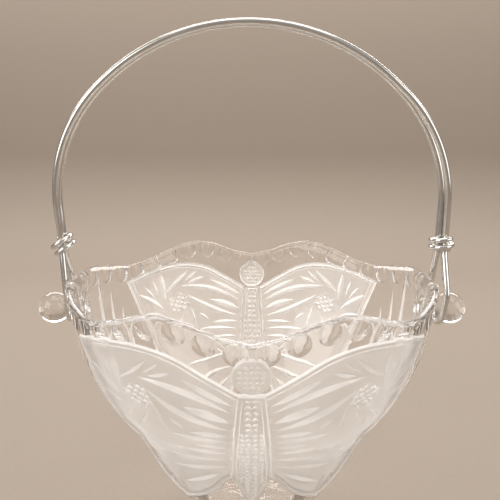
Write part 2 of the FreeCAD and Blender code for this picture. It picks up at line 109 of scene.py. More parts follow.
def finishGlass(tree, shader, passed):
    # lamps shine through the glass, so that they light the walls behind it, and light
    # that is caught in the glass after a few turns leaves it, so that no edge goes black
    rays = addNode(tree, "ShaderNodeLightPath")
    caught = addNode(tree, "ShaderNodeMath", {"operation": "GREATER_THAN"}, {1: glassLook["turns"]},
                     {0: rays.outputs["Glossy Depth"]})
    either = addNode(tree, "ShaderNodeMath", {"operation": "MAXIMUM"},
                     links={0: rays.outputs["Is Shadow Ray"], 1: caught.outputs["Value"]})
    through = addNode(tree, "ShaderNodeBsdfTransparent", inputs={"Color": (passed, passed, passed, 1.0)})
    mixed = addNode(tree, "ShaderNodeMixShader",
                    links={0: either.outputs["Value"], 1: shader.outputs["BSDF"], 2: through.outputs["BSDF"]})
    addNode(tree, "ShaderNodeOutputMaterial", links={"Surface": mixed.outputs["Shader"]})


def clearGlass():
    # Pressed soda glass, fire polished: clear and bright, with the slow ripple of the mould
    material, tree = newMaterial("fire polished pressed glass")
    ripple = noiseAt(tree, glassLook["mouldWave"], 1.0)
    skin = noiseAt(tree, glassLook["skin"], 3.0)
    bump = addNode(tree, "ShaderNodeBump", inputs={"Strength": 0.35, "Distance": 0.5 * mm},
                   links={"Height": ripple.outputs["Fac"]})
    fine = addNode(tree, "ShaderNodeBump", inputs={"Strength": 0.10, "Distance": 0.06 * mm},
                   links={"Height": skin.outputs["Fac"], "Normal": bump.outputs["Normal"]})
    gloss = spread(tree, skin.outputs["Fac"], *glassLook["clearRough"])
    shader = addNode(tree, "ShaderNodeBsdfPrincipled",
                     inputs={"Base Color": linear(glassLook["tint"]), "IOR": glassLook["ior"],
                             "Transmission Weight": 1.0},
                     links={"Roughness": gloss.outputs["Result"], "Normal": fine.outputs["Normal"]})
    finishGlass(tree, shader, glassLook["clearPass"])
    return material


def satinGlass(name, haze):
    # The same glass etched satin in the butterfly: milky, with an even fine grain
    material, tree = newMaterial(name)
    grain = noiseAt(tree, glassLook["grain"], 4.0)
    cloud = noiseAt(tree, glassLook["cloud"], 3.0)
    bump = addNode(tree, "ShaderNodeBump", inputs={"Strength": 0.25, "Distance": 0.08 * mm},
                   links={"Height": grain.outputs["Fac"]})
    rough = spread(tree, cloud.outputs["Fac"], *glassLook["satinRough"])
    shader = addNode(tree, "ShaderNodeBsdfPrincipled",
                     inputs={"Base Color": linear(glassLook["satinTint"]), "IOR": glassLook["ior"],
                             "Transmission Weight": 1.0 - haze},
                     links={"Roughness": rough.outputs["Result"], "Normal": bump.outputs["Normal"]})
    finishGlass(tree, shader, glassLook["satinPass"])
    return material


wireLook = {
    # lines along the draw, drawn coarse to show, and the patches that handling leaves
    "drawnLines": 0.5 * mm,
    "drawnStretch": (1, 1, 0.15),
    "handling": 11 * mm,
    "tones": ("#d9d8d4", "#ebebe9"),
    "rough": (0.10, 0.20),
}


def brightWire():
    # Nickel plated drawn steel wire: mirror bright, with faint lines along the draw
    material, tree = newMaterial("bright plated drawn wire")
    drawn = noiseAt(tree, wireLook["drawnLines"], 3.0, wireLook["drawnStretch"])
    handled = noiseAt(tree, wireLook["handling"], 2.0)
    bump = addNode(tree, "ShaderNodeBump", inputs={"Strength": 0.12, "Distance": 0.03 * mm},
                   links={"Height": drawn.outputs["Fac"]})
    rough = spread(tree, handled.outputs["Fac"], *wireLook["rough"])
    dull, clean = wireLook["tones"]
    tone = addNode(tree, "ShaderNodeMix", {"data_type": "RGBA"},
                   {"A": linear(dull), "B": linear(clean)}, {"Factor": handled.outputs["Fac"]})
    shader = addNode(tree, "ShaderNodeBsdfPrincipled", inputs={"Metallic": 1.0},
                     links={"Base Color": tone.outputs["Result"], "Roughness": rough.outputs["Result"],
                            "Normal": bump.outputs["Normal"]})
    addNode(tree, "ShaderNodeOutputMaterial", links={"Surface": shader.outputs["BSDF"]})
    return material


clearMaterial = clearGlass()
satinMaterial = satinGlass("satin etched glass", glassLook["satinHaze"])
# the cuts are etched deeper and read whiter
cutMaterial = satinGlass("deep etched cuts", glassLook["cutHaze"])
wireMaterial = brightWire()
print("materials made")


# The bowl's form, in millimetres
form = {
    # level and half length of the outer wall
    "stations": [(0, 32.0), (2, 32.0), (5, 32.6), (12, 37.0), (20, 42.6), (35, 51.0), (50, 58.2), (58, 63.3),
                 (66, 69.0), (80, 78.0), (90, 82.2), (95, 83.7), (110, 86.9), (120, 88.4), (134, 89.8)],
    "ratio": 73.5 / 89.2,
    "halfLength": 89.2,
    "wall": 4.6,
    "floor": 9.0,
    "endFlat": 87.4,
    # the rim's peak, and the drop from it at places along the bowl
    "rimPeak": 130.3,
    "rimStops": [(0, -9.5), (35, 0), (71, -9.8), (89.2, -4.0)],
    "facets": 11,
    "rimRound": 0.9,
    # the lip: distance in from the outer edge, and drop under the rim's level
    "lip": [(0.25, 0.45), (0.75, 0.12), (1.4, 0.0), (1.9, 0.05),
            (2.7, 0.4), (3.5, 1.0), (4.1, 1.8), (4.6, 3.0)],
    "lipBlend": 1.2,
    # inside: the wall's rows, the fillet down to the floor, and the floor's rings
    "innerRows": 30,
    "fillet": 9.0,
    "filletRows": 12,
    "filletIn": 0.42,
    "floorShares": (0.56, 0.40, 0.22, 0.08),
    # underside: distance in from the foot's edge, and lift
    "footRows": ((7.0, 0.0), (7.8, 1.0), (9.0, 1.2)),
    # the unrolled sheet: width of a radian, point spacing, points per facet and along the foot
    "unroll": 80.0,
    "grid": 1.7,
    "facetSteps": 8,
    "footSteps": 40,
    # places this close are one, and edges sharper than this stay sharp
    "weld": 2e-3,
    "sharpAngle": 24.0,
}
levels = [s[0] for s in form["stations"]]
lengths = [s[1] for s in form["stations"]]


def slopesOf(xs, ys):
    # monotone cubic slopes, so that the wall never swells between two stations
    steps = [(ys[i + 1] - ys[i]) / (xs[i + 1] - xs[i]) for i in range(len(xs) - 1)]
    inner = [0.0 if a * b <= 0 else 2 * a * b / (a + b) for a, b in zip(steps, steps[1:])]
    return [steps[0]] + inner + [steps[-1]]


wallSlopes = slopesOf(levels, lengths)


def halfLengthAt(z):
    # half length of the outer wall at one level
    z = min(max(z, levels[0]), levels[-1])
    i = max(k for k in range(len(levels) - 1) if levels[k] <= z)
    span = levels[i + 1] - levels[i]
    s = (z - levels[i]) / span
    return (lengths[i] * (1 + 2 * s) * (1 - s) ** 2 + wallSlopes[i] * span * s * (1 - s) ** 2
            + lengths[i + 1] * s * s * (3 - 2 * s) + wallSlopes[i + 1] * span * s * s * (s - 1))


def rimLevel(x):
    # the wave of the rim along the bowl
    for (xa, za), (xb, zb) in zip(form["rimStops"], form["rimStops"][1:]):
        if x <= xb:
            share = (x - xa) / (xb - xa)
            return form["rimPeak"] + za + (zb - za) * (1 - math.cos(math.pi * share)) / 2
    return form["rimPeak"] + form["rimStops"][-1][1]


def equalTurns(count):
    # angles that cut a quarter of the rim's oval into runs of equal length
    steps = 400
    a = form["halfLength"]
    b = a * form["ratio"]
    turns = [i * math.pi / 2 / steps for i in range(steps + 1)]
    runs = [0.0]
    for k in range(steps):
        t = (k + 0.5) * math.pi / 2 / steps
        runs.append(runs[-1] + math.hypot(a * math.cos(t), b * math.sin(t)) * math.pi / 2 / steps)
    return [float(np.interp(k / count * runs[-1], runs, turns)) for k in range(count + 1)]


facetTurns = equalTurns(form["facets"])
facetX = [form["halfLength"] * math.sin(t) for t in facetTurns]
facetZ = [rimLevel(x) for x in facetX]


def rimTop(t):
    # straight facets between the corners
    return float(np.interp(form["halfLength"] * math.sin(t), facetX, facetZ))


def wallPoint(t, z, out=0.0):
    # a place on the outer wall of the front right quarter, moved out along its normal
    a = halfLengthAt(z)
    b = a * form["ratio"]
    probe = 0.05
    slope = (halfLengthAt(z + probe) - halfLengthAt(z - probe)) / (2 * probe)
    sine, cosine = math.sin(t), math.cos(t)
    along = Vector((a * cosine, b * sine, 0))
    up = Vector((slope * sine, -slope * form["ratio"] * cosine, 1))
    place = Vector((a * sine, -b * cosine, z)) + along.cross(up).normalized() * out
    place.x = min(place.x, form["endFlat"])
    return place


def turnAt(x, z):
    # the turn at which the wall is x from the middle, at one level
    return math.asin(min(1.0, x / halfLengthAt(z)))


# The butterfly, seen from the front: shares of the wing's reach and height
butterfly = {
    "reach": 73.0,
    "low": 24.0,
    "high": 117.0,
    "headRadius": 7.8,
    "headLevel": 107.7,
    "patch": (0.622, 0.742),
    "patchRadius": 5.4,
    "cutSlope": 0.85,
    # half width of the body and level, from the neck to the tail
    "bodyRows": [(5.2, 100.3), (6.6, 86.0), (7.8, 68.0), (8.5, 54.0), (8.2, 47.0), (5.9, 42.0), (4.3, 36.0),
                 (3.1, 30.0), (1.7, 25.5), (0.0, 23.5)],
    # distance in from the edge against height over the wall
    "wingEdge": ([0.0, 0.5, 1.4, 1.8, 2.2, 2.5, 3.0, 3.4, 90.0],
                 [0.0, 1.05, 1.05, 0.45, 0.45, 0.85, 0.85, 0.5, 0.5]),
    "wingRim": 1.6,
    "bodyEdge": ([0.0, 0.6, 1.9, 2.3, 90.0], [0.0, 1.8, 1.8, 0.9, 0.9]),
    "headEdge": ([0.0, 0.7, 1.6, 90.0], [0.0, 1.1, 1.3, 1.3]),
    # beads: spacing, radius, height and plain margin on the body, the head and the patch
    "beadCell": (2.75, 2.9),
    "bead": 1.2,
    "beadTall": 0.8,
    "bodyMargin": 1.6,
    "headTall": 0.55,
    "headCell": 2.15,
    "headBead": 0.95,
    "headMargin": 0.8,
    "patchCell": 2.5,
    "patchBead": 1.12,
    "patchTurn": 20.0,
    # share of a bead's radius that has to lie on the patch
    "patchHold": 0.6,
    # points along the head's half, around the patch and a bead, along half a bead, and in its rings
    "headSteps": 20,
    "patchSides": 32,
    "beadSides": 10,
    "halfBeadSteps": 6,
    "beadRings": ((0.8, 10), (0.42, 5)),
    # a place counts as cut or beaded from these heights on
    "cutShows": 0.05,
    "beadShows": 0.1,
}


def onWing(reach, rise):
    # shares of the wing to millimetres across and up
    return (reach * butterfly["reach"], butterfly["low"] + rise * (butterfly["high"] - butterfly["low"]))


def smoothLine(points, steps=8):
    # Catmull-Rom line through the points
    ends = [points[0]] + list(points) + [points[-1]]
    line = []
    for i in range(1, len(ends) - 2):
        p0, p1, p2, p3 = (np.array(p, float) for p in ends[i - 1:i + 3])
        for k in range(steps):
            s = k / steps
            line.append(tuple(0.5 * (2 * p1 + (p2 - p0) * s + (2 * p0 - 5 * p1 + 4 * p2 - p3) * s * s
                                     + (3 * p1 - p0 - 3 * p2 + p3) * s ** 3)))
    line.append(tuple(points[-1]))
    return line


bodyRight = smoothLine(butterfly["bodyRows"], 5)
bodyOutline = bodyRight + [(-x, z) for x, z in bodyRight[-2::-1]]


def wingOutline():
    tip = onWing(1.0, 0.943)
    notch = onWing(0.69, 0.41)
    toe = onWing(0.42, 0.0)
    top = smoothLine([onWing(0.03, 0.80), onWing(0.24, 0.90), onWing(0.40, 0.97), onWing(0.575, 1.0),
                      onWing(0.77, 0.99), tip])
    side = smoothLine([tip, onWing(0.90, 0.715), onWing(0.78, 0.495), notch])
    lobe = smoothLine([notch, onWing(0.68, 0.31), onWing(0.59, 0.14), toe])
    under = smoothLine([toe, onWing(0.29, 0.08), onWing(0.205, 0.15), onWing(0.12, 0.245),
                        onWing(0.03, 0.28)])
    return top[:-1] + side[:-1] + lobe[:-1] + under


wingEdge = wingOutline()

# root and tip of each cut in shares of the wing, its width and its bend, as in the solids
veins = [
    (0.10, 0.760, 0.366, 0.873, 3.0, 0.0), (0.11, 0.722, 0.625, 0.848, 3.2, 2.6),
    (0.115, 0.667, 0.362, 0.737, 4.0, 0.4), (0.125, 0.625, 0.560, 0.790, 3.2, -2.2),
    (0.13, 0.587, 0.338, 0.591, 2.6, 0.0), (0.13, 0.544, 0.445, 0.559, 2.6, 0.0),
    (0.135, 0.500, 0.320, 0.502, 2.2, 0.0), (0.14, 0.455, 0.430, 0.457, 2.4, 0.0),
    (0.14, 0.402, 0.560, 0.371, 2.6, 0.0), (0.13, 0.345, 0.480, 0.270, 2.8, 0.0),
    (0.16, 0.290, 0.420, 0.150, 2.6, 0.0),
]
leaves = [
    (0.723, 0.817, 0.542, 0.946, 2.6, 0.0), (0.726, 0.765, 0.763, 0.948, 3.0, 0.0),
    (0.781, 0.805, 0.823, 0.909, 1.8, 0.0), (0.808, 0.796, 0.880, 0.880, 1.8, 0.0),
    (0.740, 0.722, 0.926, 0.845, 3.0, 0.0), (0.737, 0.677, 0.870, 0.714, 2.2, 0.0),
    (0.575, 0.875, 0.477, 0.937, 1.8, 0.0), (0.551, 0.862, 0.419, 0.894, 2.2, 0.0),
    (0.527, 0.710, 0.470, 0.580, 1.8, 0.0), (0.580, 0.655, 0.640, 0.550, 2.0, 0.0),
    (0.660, 0.655, 0.750, 0.560, 2.0, 0.0), (0.452, 0.660, 0.370, 0.610, 1.8, 0.0),
    (0.550, 0.270, 0.640, 0.330, 2.0, 0.0), (0.540, 0.210, 0.610, 0.230, 1.8, 0.0),
    (0.500, 0.180, 0.520, 0.080, 2.0, 0.0), (0.460, 0.180, 0.410, 0.080, 1.8, 0.0),
]
wingCuts = [(onWing(rootReach, rootRise), onWing(tipReach, tipRise), width, bend)
            for rootReach, rootRise, tipReach, tipRise, width, bend in veins + leaves]
# tall cuts of the end panels, seen from the side: top, foot and width
spikes = [
    ((21.5, 121.0), (9.0, 57.0), 3.0),
    ((28.5, 110.0), (14.5, 50.6), 2.6),
    ((33.0, 99.0), (20.0, 50.6), 2.6),
]


def cutLines(root, tip, width, bend, steps=10):
    # both edges and the keel of a lens shaped cut
    root, tip = np.array(root, float), np.array(tip, float)
    along = (tip - root) / np.linalg.norm(tip - root)
    across = np.array([-along[1], along[0]])
    left, keel, right = [], [], []
    for k in range(steps + 1):
        s = k / steps
        middle = root + (tip - root) * s + across * bend * 4 * s * (1 - s)
        half = width / 2 * 4 * s * (1 - s)
        left.append(tuple(middle + across * half))
        keel.append(tuple(middle))
        right.append(tuple(middle - across * half))
    return left, keel, right


def cutDepth(px, pz, root, tip, width, bend):
    # depth of a lens shaped cut at each place, deepest along its keel
    root, tip = np.array(root, float), np.array(tip, float)
    length = np.linalg.norm(tip - root)
    along = (tip - root) / length
    dx, dz = px - root[0], pz - root[1]
    s = (dx * along[0] + dz * along[1]) / length
    lump = np.clip(4 * s * (1 - s), 0, 1)
    side = -dx * along[1] + dz * along[0] - bend * lump
    return butterfly["cutSlope"] * np.clip(width / 2 * lump - np.abs(side), 0, None)


def inside(px, pz, outline):
    # which places lie in a closed outline
    found = np.zeros(len(px), bool)
    for (xa, za), (xb, zb) in zip(outline, outline[1:] + outline[:1]):
        crosses = (za > pz) != (zb > pz)
        if za != zb:
            found ^= crosses & (px < (xb - xa) * (pz - za) / (zb - za) + xa)
    return found


def edgeDistance(px, pz, outline, rooted=False):
    # positive inside; a rooted outline has no edge from its last point to its first
    best = np.full(len(px), 1e9)
    ends = outline[1:] if rooted else outline[1:] + outline[:1]
    for (xa, za), (xb, zb) in zip(outline, ends):
        ex, ez = xb - xa, zb - za
        span = ex * ex + ez * ez
        if span == 0:
            continue
        s = np.clip(((px - xa) * ex + (pz - za) * ez) / span, 0, 1)
        best = np.minimum(best, np.hypot(px - xa - s * ex, pz - za - s * ez))
    return np.where(inside(px, pz, outline), best, -best)


def turnedPlace(spot, turn, u, v):
    sine, cosine = math.sin(turn), math.cos(turn)
    return (spot[0] + u * cosine - v * sine, spot[1] + u * sine + v * cosine)


def beadPlaces():
    # middle and radius of each bead: of a grid over the body, the head and the patch, those inside
    beads = []
    headLevel, headRadius = butterfly["headLevel"], butterfly["headRadius"]
    cellX, cellZ = butterfly["beadCell"]
    bead = butterfly["bead"]
    for row in range(int(form["rimPeak"] / cellZ)):
        for column in range(3):
            x, z = (column + 0.5) * cellX, (row + 0.5) * cellZ
            depth = edgeDistance(np.array([x]), np.array([z]), bodyOutline)[0]
            if depth > bead + butterfly["bodyMargin"] and z < headLevel - headRadius - bead:
                beads.append(((x, z), bead))
    cell, bead = butterfly["headCell"], butterfly["headBead"]
    for row in range(-4, 5):
        for column in range(5):
            x, z = column * cell, headLevel + row * cell
            if math.hypot(x, z - headLevel) < headRadius - bead - butterfly["headMargin"]:
                beads.append(((x, z), bead))
    cell, bead = butterfly["patchCell"], butterfly["patchBead"]
    spot = onWing(*butterfly["patch"])
    for row in range(-3, 3):
        for column in range(-3, 3):
            u, v = (column + 0.5) * cell, (row + 0.5) * cell
            if math.hypot(u, v) < butterfly["patchRadius"] - bead * butterfly["patchHold"]:
                beads.append((turnedPlace(spot, math.radians(butterfly["patchTurn"]), u, v), bead))
    return beads


beads = beadPlaces()
# thumbprints under the rim, one on each facet
prints = {
    "radius": 4.9,
    "depth": 1.7,
    "drop": 5.2,
    "rings": (1.0, 0.86, 0.70, 0.50, 0.26),
    "sides": 32,
    "leastSides": 8,
}
printTurns = equalTurns(2 * form["facets"])[1::2]
printSpots = [(t, rimTop(t) - prints["drop"]) for t in printTurns]


def arcRate(t, z):
    # millimetres along the wall for each radian
    a = halfLengthAt(z)
    return math.hypot(a * math.cos(t), a * form["ratio"] * math.sin(t))


def reliefAt(ts, zs):
    # height over the plain wall at each place, and its finish
    a = np.array([halfLengthAt(z) for z in zs])
    xs, ys = a * np.sin(ts), a * form["ratio"] * np.cos(ts)
    height = np.zeros(len(ts))
    wing = edgeDistance(xs, zs, wingEdge, rooted=True)
    onPlate = wing > 0
    plate = np.interp(wing, *butterfly["wingEdge"])
    cuts = np.zeros(len(ts))
    for root, tip, width, bend in wingCuts:
        cuts = np.maximum(cuts, cutDepth(xs, zs, root, tip, width, bend))
    height[onPlate] = (plate - cuts)[onPlate]
    px, pz = onWing(*butterfly["patch"])
    onPatch = np.hypot(xs - px, zs - pz) < butterfly["patchRadius"]
    height[onPatch] = 0.0
    body = edgeDistance(xs, zs, bodyOutline)
    onBody = body > 0
    rail = np.interp(body, *butterfly["bodyEdge"])
    height[onBody] = rail[onBody]
    head = butterfly["headRadius"] - np.hypot(xs, zs - butterfly["headLevel"])
    onHead = head > 0
    dome = np.interp(head, *butterfly["headEdge"])
    height[onHead] = np.maximum(dome, np.where(onBody, rail, 0))[onHead]
    beadHeight = np.zeros(len(ts))
    for (x, z), radius in beads:
        share = np.hypot(xs - x, zs - z) / radius
        beadHeight = np.maximum(beadHeight, np.sqrt(np.clip(1 - share ** 2, 0, None)))
    height += beadHeight * np.where(onHead, butterfly["headTall"], butterfly["beadTall"])
    spikeCut = np.zeros(len(ts))
    for top, foot, width in spikes:
        spikeCut = np.maximum(spikeCut, np.where(onPlate, 0, cutDepth(ys, zs, top, foot, width, 0.0)))
    height -= spikeCut
    ball = (prints["radius"] ** 2 + prints["depth"] ** 2) / (2 * prints["depth"])
    for t, z in printSpots:
        r = np.hypot((ts - t) * arcRate(t, z), zs - z)
        dip = np.sqrt(np.clip(ball ** 2 - r ** 2, 0, None)) - (ball - prints["depth"])
        height -= np.where(r < prints["radius"], np.clip(dip, 0, None), 0)
    # 0 is clear, 1 is satin and 2 is a deep cut
    finish = np.where(onPlate | onPatch | onBody | onHead, 1, 0)
    cutOrRim = (cuts > butterfly["cutShows"]) | (wing < butterfly["wingRim"])
    finish[onPlate & cutOrRim & ~onBody & ~onHead & ~onPatch] = 2
    finish[(beadHeight > butterfly["beadShows"]) & onPatch] = 2
    finish[spikeCut > butterfly["cutShows"]] = 2
    return height, finish


# The outer wall of one quarter, unrolled and triangulated
knob = {
    "level": 110.0,
    "collar": 7.7,
    "collarEnd": 88.3,
    "neck": 4.0,
    "ball": 8.0,
    "ballAt": 97.94,
    # distance out from the collar's end, and radius over the collar's or the neck's
    "collarEdge": ((0.0, -0.3), (0.05, -0.9)),
    "neckFoot": ((0.1, 0.5), (0.35, 0.0)),
    # steps around half of the collar and down the ball
    "roundSteps": 20,
    "ballSteps": 25,
    # the wall belongs to the knob's end from this turn on
    "fromTurn": 1.2,
}


class Sheet:
    # points and lines of the unrolled quarter
    def __init__(self):
        self.points = []
        self.lines = []

    def line(self, places, closed=False):
        first = len(self.points)
        self.points += [Vector(p) for p in places]
        last = len(self.points) - 1
        self.lines += [(i, i + 1) for i in range(first, last)]
        if closed:
            self.lines.append((last, first))


def unrolled(t, z):
    return (t * form["unroll"], z)


def inset(outline, distance, rooted=False):
    # the outline moved in by one distance
    moved = []
    count = len(outline)
    for i, (x, z) in enumerate(outline):
        before, after = outline[i - 1], outline[(i + 1) % count]
        a = np.array([x - before[0], z - before[1]])
        b = np.array([after[0] - x, after[1] - z])
        if rooted and i == 0:
            a = b
        if rooted and i == count - 1:
            b = a
        if np.linalg.norm(a) < 1e-6 or np.linalg.norm(b) < 1e-6:
            continue
        a, b = a / np.linalg.norm(a), b / np.linalg.norm(b)
        normal = np.array([a[1] + b[1], -a[0] - b[0]])
        normal = normal / max(np.linalg.norm(normal), 1e-6)
        stretch = min(3.0, 1 / max(0.3, float(normal @ np.array([a[1], -a[0]]))))
        moved.append((x + normal[0] * distance * stretch, z + normal[1] * distance * stretch))
    return moved


def fromFront(places):
    # places seen from the front, on the unrolled sheet
    return [unrolled(turnAt(max(x, 0.0), z), z) for x, z in places]


def fromSide(places):
    # the same for places seen from the side
    return [unrolled(math.acos(min(1.0, y / (halfLengthAt(z) * form["ratio"]))), z) for y, z in places]


def circle(x, z, radius, count):
    # places around a circle, from its right
    turns = [2 * math.pi * k / count for k in range(count)]
    return [(x + radius * math.cos(a), z + radius * math.sin(a)) for a in turns]


def rightHalf(z, radius, steps):
    # the right half of a circle about the middle, from its top down
    return [(radius * math.sin(math.pi * k / steps), z + radius * math.cos(math.pi * k / steps))
            for k in range(steps + 1)]


def rightRuns(places):
    # the runs of a closed outline that lie at x of 0 or more, ended exactly at 0
    runs, run = [], []
    loop = places + places[:1]
    for (xa, za), (xb, zb) in zip(loop, loop[1:]):
        if xa >= 0 and not run:
            run = [(xa, za)]
        if (xa >= 0) != (xb >= 0):
            s = xa / (xa - xb)
            cross = (0.0, za + s * (zb - za))
            if xa >= 0:
                run.append(cross)
                runs.append(run)
                run = []
            else:
                run = [cross, (xb, zb)]
        elif xb >= 0 and run:
            run.append((xb, zb))
    if len(run) > 1:
        runs.append(run)
    return runs


def layOut():
    # every line and point that the mesh of the outer wall has to follow
    sheet = Sheet()
    quarter = math.pi / 2
    grid = form["grid"]
    columns = []
    for a, b in zip(facetTurns, facetTurns[1:]):
        columns += [a + (b - a) * k / form["facetSteps"] for k in range(form["facetSteps"])]
    columns.append(quarter)
    top = [unrolled(t, rimTop(t) - form["rimRound"]) for t in columns]
    bottom = [unrolled(quarter * k / form["footSteps"], 0.0) for k in range(form["footSteps"], -1, -1)]
    right = [unrolled(quarter, z) for z in np.arange(top[-1][1] - grid, 1.0, -grid)]
    left = [unrolled(0.0, z) for z in np.arange(grid, top[0][1] - 1.0, grid)]
    sheet.line(top + right + bottom + left, closed=True)
    for distance in butterfly["wingEdge"][0][:-1]:
        outline = inset(wingEdge, distance, rooted=True) if distance else wingEdge
        sheet.line(fromFront(outline))
    for distance in butterfly["bodyEdge"][0][:-1]:
        outline = inset(bodyOutline, distance) if distance else bodyOutline
        for run in rightRuns(outline):
            sheet.line(fromFront(run))
    for distance in butterfly["headEdge"][0][:-1]:
        half = rightHalf(butterfly["headLevel"], butterfly["headRadius"] - distance, butterfly["headSteps"])
        sheet.line(fromFront(half))
    for root, tip, width, bend in wingCuts:
        for run in cutLines(root, tip, width, bend):
            sheet.line(fromFront(run))
    for top, foot, width in spikes:
        for run in cutLines(top, foot, width, 0.0):
            sheet.line(fromSide(run))
    px, pz = onWing(*butterfly["patch"])
    sheet.line(fromFront(circle(px, pz, butterfly["patchRadius"], butterfly["patchSides"])), closed=True)
    for (x, z), radius in beads:
        if x > 0.1:
            sheet.line(fromFront(circle(x, z, radius, butterfly["beadSides"])), closed=True)
        else:
            sheet.line(fromFront(rightHalf(z, radius, butterfly["halfBeadSteps"])))
        for share, count in butterfly["beadRings"]:
            ring = circle(x, z, radius * share, count)
            sheet.points += [Vector(p) for p in fromFront([q for q in ring if q[0] >= 0])]
        sheet.points += [Vector(p) for p in fromFront([(x, z)])]
    for t, z in printSpots:
        rate = arcRate(t, z)
        for share in prints["rings"]:
            count = max(prints["leastSides"], int(prints["sides"] * share))
            ring = [unrolled(t + u / rate, z + v)
                    for u, v in circle(0.0, 0.0, prints["radius"] * share, count)]
            if share == 1.0:
                sheet.line(ring, closed=True)
            else:
                sheet.points += [Vector(p) for p in ring]
    sheet.line(fromSide(rightHalf(knob["level"], knob["collar"], knob["roundSteps"])))
    return sheet


def fillIn(sheet):
    # an even spread of points between the lines
    step = form["grid"]
    nearest, edgeGap, rowRise, beadGap = step * 0.5, step * 0.4, step * 0.87, 0.2
    cells = {}
    for p in sheet.points:
        cells.setdefault((int(p.x // step), int(p.y // step)), []).append(p)

    def crowded(x, z):
        i, j = int(x // step), int(z // step)
        near = [p for di in (-1, 0, 1) for dj in (-1, 0, 1) for p in cells.get((i + di, j + dj), ())]
        return any(math.hypot(p.x - x, p.y - z) < nearest for p in near)

    wide = form["unroll"] * math.pi / 2
    row = 0
    z = step
    found = []
    while z < form["rimPeak"]:
        x = step * (0.5 if row % 2 else 1.0)
        while x < wide - edgeGap:
            t = x / form["unroll"]
            if z < rimTop(t) - form["rimRound"] - edgeGap and not crowded(x, z):
                found.append((x, z))
            x += step
        z += rowRise
        row += 1
    us, zs = np.array([p[0] for p in found]), np.array([p[1] for p in found])
    ts = us / form["unroll"]
    a = np.array([halfLengthAt(v) for v in zs])
    xs, ys = a * np.sin(ts), a * form["ratio"] * np.cos(ts)
    # cuts, beads and prints have points of their own
    free = np.ones(len(found), bool)
    for root, tip, width, bend in wingCuts:
        free &= cutDepth(xs, zs, root, tip, width, bend) <= 0
    for top, foot, width in spikes:
        free &= cutDepth(ys, zs, top, foot, width, 0.0) <= 0
    for (x, z), radius in beads:
        free &= np.hypot(xs - x, zs - z) > radius + beadGap
    for t, z in printSpots:
        free &= np.hypot((ts - t) * arcRate(t, z), zs - z) > prints["radius"]
    sheet.points += [Vector(p) for p, keep in zip(found, free) if keep]


def knobReach(t, z):
    # how far a place on the wall lies from the knob's line, seen from the side
    return math.hypot(halfLengthAt(z) * form["ratio"] * math.cos(t), z - knob["level"])


def outerQuarter():
    # the sheet's triangles, with the height and the finish of the relief
    sheet = layOut()
    fillIn(sheet)
    verts, _, faces, _, _, _ = delaunay_2d_cdt(sheet.points, sheet.lines, [], 0, 1e-5, True)
    ts = np.array([v.x for v in verts]) / form["unroll"]
    zs = np.array([v.y for v in verts])
    tops = np.array([rimTop(t) - form["rimRound"] for t in ts])
    kept = []
    for face in faces:
        t = sum(ts[i] for i in face) / len(face)
        z = sum(zs[i] for i in face) / len(face)
        if z < rimTop(t) - form["rimRound"] - 1e-4:
            if knobReach(t, z) > knob["collar"] - 0.01 or t < knob["fromTurn"]:
                kept.append(face)
    heights, _ = reliefAt(ts, zs)
    middleT = np.array([sum(ts[i] for i in f) / len(f) for f in kept])
    middleZ = np.array([sum(zs[i] for i in f) / len(f) for f in kept])
    _, finish = reliefAt(middleT, middleZ)
    used = sorted({i for face in kept for i in face})
    onTop = sorted((i for i in used if abs(zs[i] - tops[i]) < 1e-3), key=lambda i: ts[i])
    onFoot = sorted((i for i in used if abs(zs[i]) < 1e-4), key=lambda i: ts[i])
    onCollar = [i for i in used if ts[i] > knob["fromTurn"]
                and abs(knobReach(ts[i], zs[i]) - knob["collar"]) < form["weld"]]
    onCollar.sort(key=lambda i: -zs[i])
    return ts, zs, heights, kept, finish, onTop, onFoot, onCollar


def openNeighbours(vert):
    # points that share an open edge with this one
    return {edge.other_vert(vert) for edge in vert.link_edges if len(edge.link_faces) == 1}


def closeSeams(mesh):
    # a long open edge that runs beside two short ones is split where they meet
    for edge in [e for e in mesh.edges if len(e.link_faces) == 1]:
        near, far = edge.verts
        length = edge.calc_length()
        for middle in openNeighbours(near) & openNeighbours(far):
            share = (middle.co - near.co).length / length
            if share < 1 and (middle.co - far.co).length < length:
                _, added = bmesh.utils.edge_split(edge, near, share)
                added.co = middle.co
                break
    bmesh.ops.remove_doubles(mesh, verts=mesh.verts, dist=form["weld"])


def strip(mesh, upper, lower):
    # faces between two rows of points
    for k in range(len(upper) - 1):
        mesh.faces.new((upper[k], upper[k + 1], lower[k + 1], lower[k]))


def fan(mesh, row, tip):
    for k in range(len(row) - 1):
        mesh.faces.new((row[k], row[k + 1], tip))


def addObject(name, mesh, materials):
    # the mesh as a smoothly shaded object
    for face in mesh.faces:
        face.smooth = True
    data = bpy.data.meshes.new(name)
    mesh.to_mesh(data)
    mesh.free()
    for material in materials:
        data.materials.append(material)
    made = bpy.data.objects.new(name, data)
    scene.collection.objects.link(made)
    return made


def insetPlace(t, z, inward):
    # a place on the plain wall, moved in level
    a = halfLengthAt(z) - inward
    b = halfLengthAt(z) * form["ratio"] - inward
    return Vector((a * math.sin(t), -b * math.cos(t), z))


